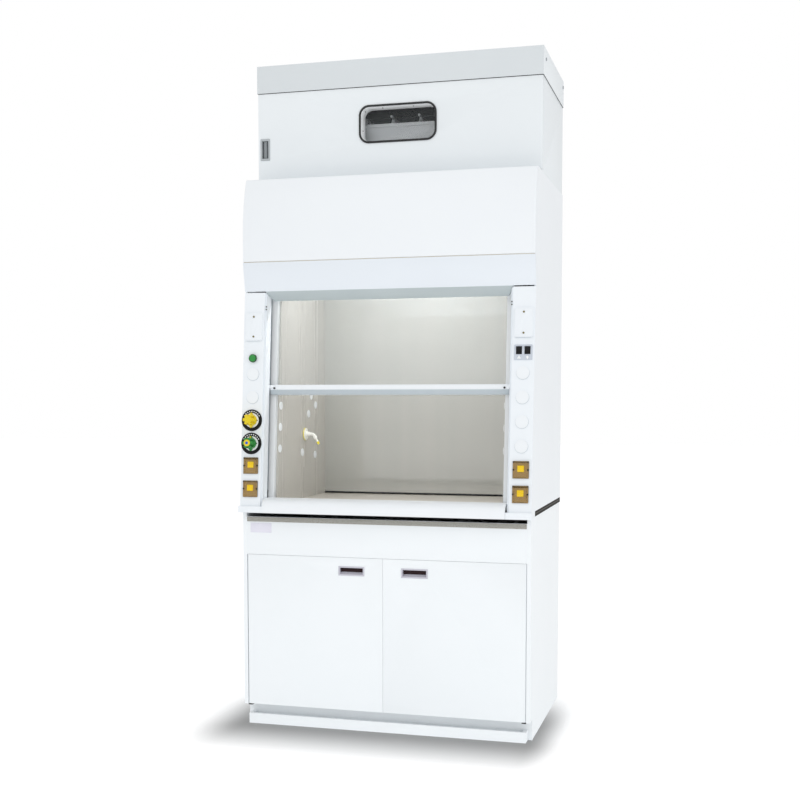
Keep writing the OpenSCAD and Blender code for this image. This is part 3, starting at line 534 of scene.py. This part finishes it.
# the fascia's downward-facing soffit bevel gets a darker grey: painted shade
wearAlso(
    eased["lower_fascia"],
    "soffitPolypropylene",
    lambda f: f.center.z < soffitHeight and f.normal.z < -0.3,
)
# the cover plates' downward faces get a darker grey: painted shade under their lower edges
wearAlso(eased["cover_plates"], "blankEdge", lambda f: f.normal.z < -0.5 and f.normal.y > -0.9)
print("edges eased on", len(easedEdges), "pieces")


# ---- dials and knobs ----

knobSize = {
    "skirtRadius": 23,
    "skirtFront": -13,
    "skirtBack": -4.5,
    "gripRadius": 18,
    "gripFront": -48,
    "chamfer": 1.5,
    "shoulder": 2,
    "faceRadius": 13.5,
    "faceFront": -53,
    "centreRadius": 6,
    "flutes": 6,
    "fluteRadius": 5,
    "fluteOut": 1.5,
    "fluteFront": -60,
    "fluteFoot": 5,
    "wing": (12, 8),
    "wingMiddle": -8.6,
    "wingReach": 31,
    "wingWaist": 2.9,
    "wingTip": 0.25,
    "pointer": (9, 3, 12),
    "pointerAt": (-13.6, 24),
    "pointerTaper": 0.75,
}


def makeKnob(name, finish):
    size = knobSize
    chamfer = size["chamfer"]
    body = disc(name, finish, size["skirtRadius"], size["skirtFront"], size["skirtBack"])
    stepOut(body, size["skirtRadius"] - size["gripRadius"] - chamfer, 0)
    stepOut(body, chamfer, size["shoulder"])
    stepOut(body, 0, size["skirtFront"] - size["shoulder"] - size["gripFront"])
    stepOut(body, chamfer, chamfer)
    for k in range(size["flutes"]):
        turn = (k + 0.5) * 2 * math.pi / size["flutes"]
        reach = size["gripRadius"] + size["fluteOut"]
        spot = (reach * math.cos(turn), reach * math.sin(turn))
        foot = size["skirtFront"] - size["fluteFoot"]
        cutter = disc("fluteCutter", finish, size["fluteRadius"], size["fluteFront"], foot, at=spot, sides=20)
        pick(body)
        cut = body.modifiers.new("flute", "BOOLEAN")
        cut.operation = "DIFFERENCE"
        cut.solver = "EXACT"
        cut.object = cutter
        bpy.ops.object.modifier_apply(modifier="flute")
        bpy.data.objects.remove(cutter, do_unlink=True)
    wing = block(name + "Wing", finish, size["wing"] + (2 * size["wingReach"],), (0, size["wingMiddle"], 0))
    subdivided(wing, 6)
    for vertex in wing.data.vertices:
        away = abs(vertex.co.z) * 1000 / size["wingReach"]
        vertex.co.x *= size["wingWaist"] * (1 - away) ** 0.8 + size["wingTip"]
    roundEdges(wing, 0.8)
    roundEdges(body, 0.8)
    return joined(name, [body, wing])


def knobRing(name, finish):
    size = knobSize
    ring = disc(name, finish, size["faceRadius"], size["faceFront"] + 0.6, size["gripFront"] + 0.5)
    roundEdges(ring, 1.2, 3)
    return ring


def knobCentre(name, finish):
    size = knobSize
    front = size["faceFront"]
    centre = disc(name, finish, size["centreRadius"], front + 0.1, front + 3, sides=32)
    roundEdges(centre, 0.4)
    return centre


def knobPointer(name, finish):
    # a small raised arrow on the wing's upper tip
    size = knobSize
    tall = size["pointer"][2]
    front, middle = size["pointerAt"]
    pointer = block(name, finish, size["pointer"], (0, front, middle))
    subdivided(pointer, 3)
    for vertex in pointer.data.vertices:
        vertex.co.x *= 1 - size["pointerTaper"] * (vertex.co.z * 1000 - (middle - tall / 2)) / tall
    roundEdges(pointer, 0.4)
    return pointer


dialSize = {
    "face": (30, -2.5, -1.9),
    "mark": (2.2, -3, -2.3),
    "markAcross": 24,
    "tick": (2.5, -3.9, -3.3),
    "tickCircle": 36.5,
    "ticks": 9,
    "firstTick": 30,
    "tickPitch": 15,
}


def dialFace(name):
    # white enamelled disc inside the black ring, with a small index mark at the right
    size = dialSize
    face = disc(name, "whitePrint", *size["face"], sides=64)
    roundEdges(face, 0.2, 1)
    mark = disc(name + "Mark", "darkSocket", *size["mark"], at=(size["markAcross"], 0), sides=20)
    roundEdges(mark, 0.2, 1)
    ticks = []
    for k in range(size["ticks"]):
        turn = math.radians(size["firstTick"] + k * size["tickPitch"])
        spot = (size["tickCircle"] * math.cos(turn), size["tickCircle"] * math.sin(turn))
        ticks.append(disc(name + "Tick", "whitePrint", *size["tick"], at=spot, sides=12))
    return face, mark, joined(name + "Ticks", ticks)


controls = {"yellow_knob": ("yellowPlastic", 351.0), "green_knob": ("greenPlastic", 256.5)}
left = -placing["controlX"]
right = placing["controlX"]
for node, (finish, along) in controls.items():
    spot = onPost(left, along)
    for piece in dialFace(node + "Dial"):
        settle(piece, spot, "hood")
    knob = makeKnob(node + "Body", finish)
    settle(knob, spot, node)
    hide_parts(node)
    settle(knobRing(node + "Ring", "yellowPlastic"), spot, node)
    if node == "green_knob":
        settle(knobCentre(node + "Centre", "bluePlastic"), spot, node)
        settle(knobPointer(node + "Pointer", "yellowPlastic"), spot, node)
print("dials and knobs made")


# ---- start button, sockets and switches ----

# dome: (inset, rise) of each step from the rim to the crown
buttonSize = {
    "radius": 16.8,
    "front": -10,
    "back": -4.5,
    "rim": 13.8,
    "along": 604,
    "dome": [(2.5, 1.6), (4, 1.0), (4, 0.3)],
}
domed = disc("startCap", "buttonGreen", buttonSize["radius"], buttonSize["front"], buttonSize["back"])
for inset, rise in buttonSize["dome"]:
    stepOut(domed, inset, rise)
roundEdges(domed, 0.8)
# the dome's outer faces get a darker green: painted shade at the dome's edge
wearAlso(domed, "buttonRim", lambda f: math.hypot(f.center.x, f.center.z) > buttonSize["rim"] / 1000)
settle(domed, onPost(left, buttonSize["along"]), "button")
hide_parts("start_button")

socketSize = {
    "places": [166.0, 71.5],
    "tray": 46,
    "trayFront": -3.2,
    "trayStep": 0.6,
    "insert": 26,
    "insertFront": -8.2,
    "insertRise": 4,
    "insertThick": 5.4,
    "frameOut": 63,
    "frameTall": 67,
    "frameIn": 53.5,
    "frameMiddle": -3.6,
    "frameThick": 1.6,
    "frameSunk": 1.0,
    "catchAcross": 28.5,
    "catch": (3.4, -6.4, -4.0),
}


def socketTray(name):
    # tan mounting plate behind the cover, with a raised square round the outlet
    size = socketSize
    tray = block(name, "tanSocket", (size["tray"], 4, size["tray"] + 2), (0, size["trayFront"] + 2, -1))
    stepOut(tray, 5, size["trayStep"])
    stepOut(tray, 2, 0)
    stepOut(tray, 0, -size["trayStep"])
    roundEdges(tray, 0.3, 1)
    return tray


def socketInsert(name):
    size = socketSize
    middle = (0, size["insertFront"] + 3, size["insertRise"])
    key = block(name, "socketYellow", (size["insert"], size["insertThick"], size["insert"] - 1), middle)
    roundEdges(key, 2.2, 3)
    return key


def socketFrame(name):
    # dark raised frame round the cover, with the tan plate showing at its sunken floor
    size = socketSize
    outline = (size["frameOut"], size["frameThick"], size["frameTall"])
    frameRing = block(name, "darkSocket", outline, (0, size["frameMiddle"], 0))
    stepOut(frameRing, (size["frameOut"] - size["frameIn"]) / 2, 0)
    stepOut(frameRing, 0, -size["frameSunk"])
    roundEdges(frameRing, 0.3, 1)
    sunken = (size["frameMiddle"] - 0.2) / 1000
    wearAlso(frameRing, "tanSocket", lambda f: frontFace(f) and f.center.y > sunken)
    return frameRing


def socketCatch(name, across):
    # the cover's side catches show as dark half rounds at mid-height
    knuckle = disc(name, "blackPlastic", *socketSize["catch"], at=(across, 0), sides=24)
    stepOut(knuckle, 0.8, 0.5)
    roundEdges(knuckle, 0.3, 1)
    return knuckle


for side, x in (("left", left), ("right", right)):
    for level, along in zip(("Upper", "Lower"), socketSize["places"]):
        spot = onPost(x, along)
        stem = side + level + "Socket"
        settle(socketTray(stem + "Tray"), spot, "hood")
        settle(socketInsert(stem + "Insert"), spot, "hood")
        settle(socketFrame(stem + "Frame"), spot, "hood")
        settle(socketCatch(stem + "LeftCatch", -socketSize["catchAcross"]), spot, "hood")
        settle(socketCatch(stem + "RightCatch", socketSize["catchAcross"]), spot, "hood")

symbols = {
    "x": (540, 572.5),
    "along": 598,
    "back": -2.9,
    "hub": (2.2, -3.5),
    "blade": (3.0, -3.4),
    "bladeCircle": 4.2,
    "bulb": (4.6, -3.4),
    "bulbUp": 1.5,
    "bulbCap": (4.4, 0.5, 4),
    "bulbCapAt": (0, -3.2, -4.5),
}


def fanSymbol(name):
    # three round blades about a hub
    size = symbols
    parts = [disc(name, "whitePrint", *size["hub"], size["back"], sides=16)]
    for k in range(3):
        turn = math.radians(90 + k * 120)
        spot = (size["bladeCircle"] * math.cos(turn), size["bladeCircle"] * math.sin(turn))
        parts.append(disc(name, "whitePrint", *size["blade"], size["back"], at=spot, sides=16))
    return joined(name, parts)


def bulbSymbol(name):
    size = symbols
    bulb = disc(name, "whitePrint", *size["bulb"], size["back"], at=(0, size["bulbUp"]), sides=24)
    cap = block(name, "whitePrint", size["bulbCap"], size["bulbCapAt"])
    roundEdges(cap, 0.2, 1)
    return joined(name, [bulb, cap])


settle(fanSymbol("fanSymbol"), onPost(symbols["x"][0], symbols["along"]), "hood")
settle(bulbSymbol("lampSymbol"), onPost(symbols["x"][1], symbols["along"]), "hood")

# each head is (radius, front, back, sides, inset, rise, edge)
jambScrews = {"x": 506.5, "along": (815, 804), "head": (2.6, 3.4, 7.5, 16, 0.6, 0.4)}
for side in (-1, 1):
    for along in jambScrews["along"]:
        screw = raisedDisc("jambScrew", "blackSteel", *jambScrews["head"])
        settle(screw, onPost(side * jambScrews["x"], along), "hood")

coverScrews = {"along": (692.5, 773.5), "head": (3.9, -8.2, -5.4, 24, 1.0, 0.6, 0.3)}
for x in (left, right):
    for along in coverScrews["along"]:
        settle(raisedDisc("coverScrew", "screwBrass", *coverScrews["head"]), onPost(x, along), "hood")

# a seat in painted shade shows as a crescent below each hole blank, and a wing in painted blue-grey shade on
# each glass channel closes the slot beside it
blankShadeCrescents = {
    "head": (26.4, -1.1, -0.1, 48, 0.6, 0.3),
    "drop": 1.0,
    "left": [540.0, 445.5],
    "right": [540.0, 445.5, 351.0, 256.5],
}
for x, places in ((left, blankShadeCrescents["left"]), (right, blankShadeCrescents["right"])):
    for along in places:
        seat = raisedDisc("blankSeat", "blankEdge", *blankShadeCrescents["head"])
        settle(seat, onPost(x, along - blankShadeCrescents["drop"]), "hood")

# each raised middle is (inset, rise, edge, segments)
trackWings = {
    "x": 505.9,
    "wide": 5.2,
    "front": 63.4,
    "back": 68.8,
    "low": 68,
    "high": 1262,
    "raised": (1, 0.3, 0.4),
}
# the wings are coloured blue-grey to stand for the shaded slot: painted shade
for side in (-1, 1):
    size = trackWings
    outline = (size["wide"], size["back"] - size["front"], size["high"] - size["low"])
    wing = raisedBlock("trackWing", "gripShade", outline, (0, 0, 0), *size["raised"])
    middle = Matrix.Translation((0, (size["front"] + size["back"]) / 2000, 0))
    settle(wing, onPost(side * size["x"], (size["low"] + size["high"]) / 2) @ middle, "hood")
print("button, sockets and switches made")


# ---- outlet, label, cap bolts and window screws ----

spout = {
    "x": -472,
    "depth": 366,
    "height": 1190,
    "stem": 28,
    "bend": 18,
    "turn": 60,
    "tip": (5.6, -6, 6, 24, 1.0, 1.0, 0.5, 2),
    "tipAlong": 33.4,
    "nut": (9.2, -6, 6, 6, 1.5, 1.0, 0.5, 2),
    "nutAlong": 6,
    "rosette": (27.4, -5.4, -0.4),
    "collars": ((10.5, -20, -5.5, 32, 1.2, 0.8, 0.4, 2), (12.5, -9, -5.2, 32, 1.2, 0.8, 0.4, 2)),
}


def onTail(along):
    # a place on the hose tail past its bend, facing down the tail
    size = spout
    turn = math.radians(size["turn"])
    spot = fromWall(
        size["x"] + size["stem"] + size["bend"] * math.sin(turn) + along * math.cos(turn),
        size["depth"],
        size["height"] - size["bend"] * (1 - math.cos(turn)) - along * math.sin(turn),
    )
    heading = Vector((math.cos(turn), 0, -math.sin(turn)))
    return Matrix.Translation(spot) @ Vector((0, -1, 0)).rotation_difference(heading).to_matrix().to_4x4()


# the tip is the yellow identification sleeve at the end of the hose tail
settle(raisedDisc("hoseTip", "outletYellow", *spout["tip"]), onTail(spout["tipAlong"]), "hood")
rosette = disc("rosetteRing", "outletYellow", *spout["rosette"])
stepOut(rosette, 8, 0)
stepOut(rosette, 0, -1.6)
roundEdges(rosette, 0.8)
rosetteMiddle = fromWall(spout["x"], spout["depth"], spout["height"])
onLiner = Matrix.Translation(rosetteMiddle) @ Matrix.Rotation(math.pi / 2, 4, "Z")
settle(rosette, onLiner, "hood")
for collar in spout["collars"]:
    settle(raisedDisc("outletCollar", "nozzleEpoxy", *collar), onLiner, "hood")
settle(raisedDisc("outletNut", "nozzleEpoxy", *spout["nut"]), onTail(spout["nutAlong"]), "hood")

label = {
    "spot": (-518.5, 773, 818),
    "size": (91, 1.2, 40),
    "middle": (0, -0.55, 0),
    "raised": (3, 0.2, 0.4, 2),
}
plate = raisedBlock("blankLabel", "labelFilm", label["size"], label["middle"], *label["raised"])
settle(plate, Matrix.Translation(fromWall(*label["spot"])), "hood")

# dark strips of painted shade on the rear wall of the doors' scooped pulls
doorPulls = {
    "x": 131,
    "height": 653,
    "depth": 773,
    "size": (96, 1.4, 17.4),
    "middle": (0, 13.0, 3.7),
    "raised": (2, 0.4, 0.3),
}
for side, body in ((-1, "left_door"), (1, "right_door")):
    size = doorPulls
    lining = raisedBlock(body + "PullLining", "pullRecess", size["size"], size["middle"], *size["raised"])
    settle(lining, Matrix.Translation(fromWall(side * size["x"], size["depth"], size["height"])), body)

# a mid-grey plate inside the hatch pull's hollow: painted shade
hatchPull = {
    "spot": (-567, 570, 2381),
    "size": (15, 15.8, 71),
    "middle": (0, 10.9, 0),
    "raised": (2.5, 2, 1.2, 2),
}
size = hatchPull
hatchShadePlate = raisedBlock("hatchPullGrip", "hatchPullRecess", size["size"], size["middle"], *size["raised"])
settle(hatchShadePlate, Matrix.Translation(fromWall(*size["spot"])), "hatch")

# small screws in the window's reveal: (across, up, turn) from the window's middle
windowScrews = {
    "middle": (6, 544, 2460),
    "head": (2.6, -1.4, 0.4, 16, 0.7, 0.3),
    "places": [(-70, 68.4, 0), (60, 68.4, 0), (-154.9, -20, 90), (-143, 56, 45), (154.9, 20, -90)],
}
for across, up, turn in windowScrews["places"]:
    screw = raisedDisc("windowScrew", "blackSteel", *windowScrews["head"])
    x, depth, height = windowScrews["middle"]
    face = Matrix.Rotation(math.radians(-turn), 4, "Y") @ Matrix.Rotation(math.pi / 2, 4, "X")
    settle(screw, Matrix.Translation(fromWall(x + across, depth, height + up)) @ face, "hatch")


def onSide(side, out, depth, height):
    # a place on the left or right side, facing outwards
    spot = fromWall(side * out, depth, height)
    return Matrix.Translation(spot) @ Matrix.Rotation(side * math.pi / 2, 4, "Z")


capBolts = {"out": 600, "spots": ((517, 2681), (25, 2692)), "head": (7, -3.4, 0.2, 6, 1.2, 0.3)}
for side in (-1, 1):
    for depth, height in capBolts["spots"]:
        bolt = raisedDisc("capBolt", "zincSteel", *capBolts["head"])
        settle(bolt, onSide(side, capBolts["out"], depth, height), "hood")

# a grey speckled band of painted shade under the sill's overhang on the apron's upper edge, the gasket in the
# header's seam, and the slab's glue line
trims = {
    "sillShadeBand": {"size": (1158, 1.3, 19), "spot": (0, 773.55, 852.5), "raised": (3, 0.3, 0.3)},
    "gasket": {"size": (1194, 5.6, 1.9), "spot": (0, 739.8, 1898), "raised": (0.4, 0.5, 0.2)},
    "glue": {
        "size": (696, 0.8, 4),
        "middle": (0, 0.1, 0),
        "spot": (600, 354, 897),
        "raised": (0.8, 0.1, 0.1),
    },
}
size = trims["sillShadeBand"]
sillShadeBand = raisedBlock("sealingRail", "sealingRail", size["size"], (0, 0, 0), *size["raised"])
settle(sillShadeBand, Matrix.Translation(fromWall(*size["spot"])), "hood")
size = trims["gasket"]
strip = raisedBlock("seamGasket", "seamGasket", size["size"], (0, 0, 0), *size["raised"])
settle(strip, Matrix.Translation(fromWall(*size["spot"])), "hood")
size = trims["glue"]
for side in (-1, 1):
    line = raisedBlock("slabGlueLine", "slabGlueLine", size["size"], size["middle"], *size["raised"])
    settle(line, onSide(side, *size["spot"]), "hood")

# dark rubber stops at the ends of the sash handle
handleStops = {"x": 478, "along": 486, "head": (4.2, 38.6, 43, 20, 1.2, 0.4, 0.3)}
for side in (-1, 1):
    stop = raisedDisc("handleStop", "blackRubber", *handleStops["head"])
    settle(stop, onPost(side * handleStops["x"], handleStops["along"]), "sash")
print("outlet, label, bolts and trims made")


# ---- floor, light and camera ----

bpy.ops.object.select_all(action="DESELECT")
bpy.ops.mesh.primitive_plane_add(size=60)
floor = bpy.context.object
floor.name = "studioFloor"
paleFloor, floorShader = surface("paleFloor", "#FDFDFD", 0.9)

# the soft shade round the base reaches a different way on each side, and thins out towards the back
shade = {
    "half": 0.585,
    "front": wallY - 0.765,
    "fullDepth": 0.25,
    "right": 0.16,
    "left": 0.25,
    "ahead": 0.46,
    "behind": 0.6,
    "pale": "#FDFDFD",
    "dark": "#A0A0A0",
    "bounce": 0.14,
    "glow": 0.24,
}


def mathNode(operation, *terms):
    node = addNode(paleFloor, "ShaderNodeMath", {"operation": operation}, {})
    for socket, term in zip(node.inputs, terms):
        if isinstance(term, float):
            socket.default_value = term
        else:
            paleFloor.node_tree.links.new(term, socket)
    return node.outputs[0]


def beyond(value, start, reach):
    # how far the value lies past the start, in lengths of the reach
    return mathNode("MAXIMUM", mathNode("DIVIDE", mathNode("SUBTRACT", value, start), reach), 0.0)


floorPlace = addNode(paleFloor, "ShaderNodeSeparateXYZ", {}, {"Vector": objectPlace(paleFloor)})
floorX, floorY = floorPlace.outputs["X"], floorPlace.outputs["Y"]
onRight = beyond(floorX, shade["half"], shade["right"])
onLeft = beyond(floorX, -shade["half"], -shade["left"])
ahead = beyond(floorY, shade["front"], -shade["ahead"])
behind = beyond(floorY, shade["front"] + shade["fullDepth"], shade["behind"])
sideways = mathNode("POWER", mathNode("MAXIMUM", onRight, onLeft), 2.0)
lengthways = mathNode("POWER", mathNode("MAXIMUM", ahead, behind), 2.0)
away = mathNode("SQRT", mathNode("ADD", sideways, lengthways))
depthOfShade = addNode(
    paleFloor,
    "ShaderNodeMapRange",
    {"interpolation_type": "SMOOTHSTEP", "To Min": 1.0, "To Max": 0.0},
    {"Value": away},
)

# only the camera sees the shade and the full glow, so the floor still lights the base evenly
seen = addNode(paleFloor, "ShaderNodeLightPath", {}, {}).outputs["Is Camera Ray"]
seenShade = mathNode("MULTIPLY", depthOfShade.outputs["Result"], seen)
seenGlow = ranged(paleFloor, seen, 0.0, 1.0, shade["bounce"], shade["glow"])
glow = addNode(paleFloor, "ShaderNodeMapRange", {"To Max": 0.0}, {"Value": seenShade, "To Min": seenGlow})
floorShader.inputs["Emission Color"].default_value = (1, 1, 1, 1)
plug(paleFloor, glow.outputs["Result"], floorShader, "Emission Strength")
mixedTone(paleFloor, floorShader, seenShade, shade["pale"], shade["dark"])
floor.data.materials.append(paleFloor)

lamps = {
    "key": {"place": (-1.6, -4.6, 5.6), "aim": (0, 0, 1.2), "size": (2.6, 2.6), "power": 26},
    "fill": {"place": (5.0, -3.0, 3.2), "aim": (0, 0, 1.4), "size": (4.0, 4.0), "power": 34},
    "hood": {"place": (0, -0.095, 2.1), "aim": (0, -0.08, 1.0), "size": (0.54, 0.05), "power": 5},
    "low": {"place": (0.2, -3.6, 0.4), "aim": (0, -0.4, 0.2), "size": (2.4, 0.4), "power": 4},
}
for name, lamp in lamps.items():
    bpy.ops.object.light_add(type="AREA", location=lamp["place"])
    light = bpy.context.object
    light.name = name + "Light"
    light.data.shape = "RECTANGLE"
    light.data.size, light.data.size_y = lamp["size"]
    light.data.energy = lamp["power"]
    aim = Vector(lamp["aim"]) - Vector(lamp["place"])
    light.rotation_euler = aim.to_track_quat("-Z", "Y").to_euler()

# the room lights the object a little less brightly than the white seen behind it
room = {"lighting": 0.82, "seen": 1.0}
sky = bpy.data.worlds.new("paleStudio")
sky.use_nodes = True
backdrop = sky.node_tree.nodes["Background"]
backdrop.inputs["Color"].default_value = (1, 1, 1, 1)
rays = addNode(sky, "ShaderNodeLightPath", {}, {}).outputs["Is Camera Ray"]
plug(sky, ranged(sky, rays, 0.0, 1.0, room["lighting"], room["seen"]), backdrop, "Strength")
bpy.context.scene.world = sky
bpy.context.scene.view_settings.view_transform = "Standard"

eye = {
    "x": 1328.49,
    "depth": 5335.40,
    "height": 1346.70,
    "turn": 15.21,
    "tilt": -4.09,
    "lens": 53.96,
    "sensor": 36,
    "shift": (-0.0049, 0.105),
    "far": 100,
}
bpy.ops.object.camera_add(
    location=fromWall(eye["x"], eye["depth"], eye["height"]),
    rotation=(math.radians(90 + eye["tilt"]), 0, math.radians(eye["turn"])),
)
camera = bpy.context.object
camera.data.lens = eye["lens"]
camera.data.sensor_width = eye["sensor"]
camera.data.shift_x, camera.data.shift_y = eye["shift"]
camera.data.clip_end = eye["far"]
bpy.context.scene.camera = camera
print("floor, light and camera set")
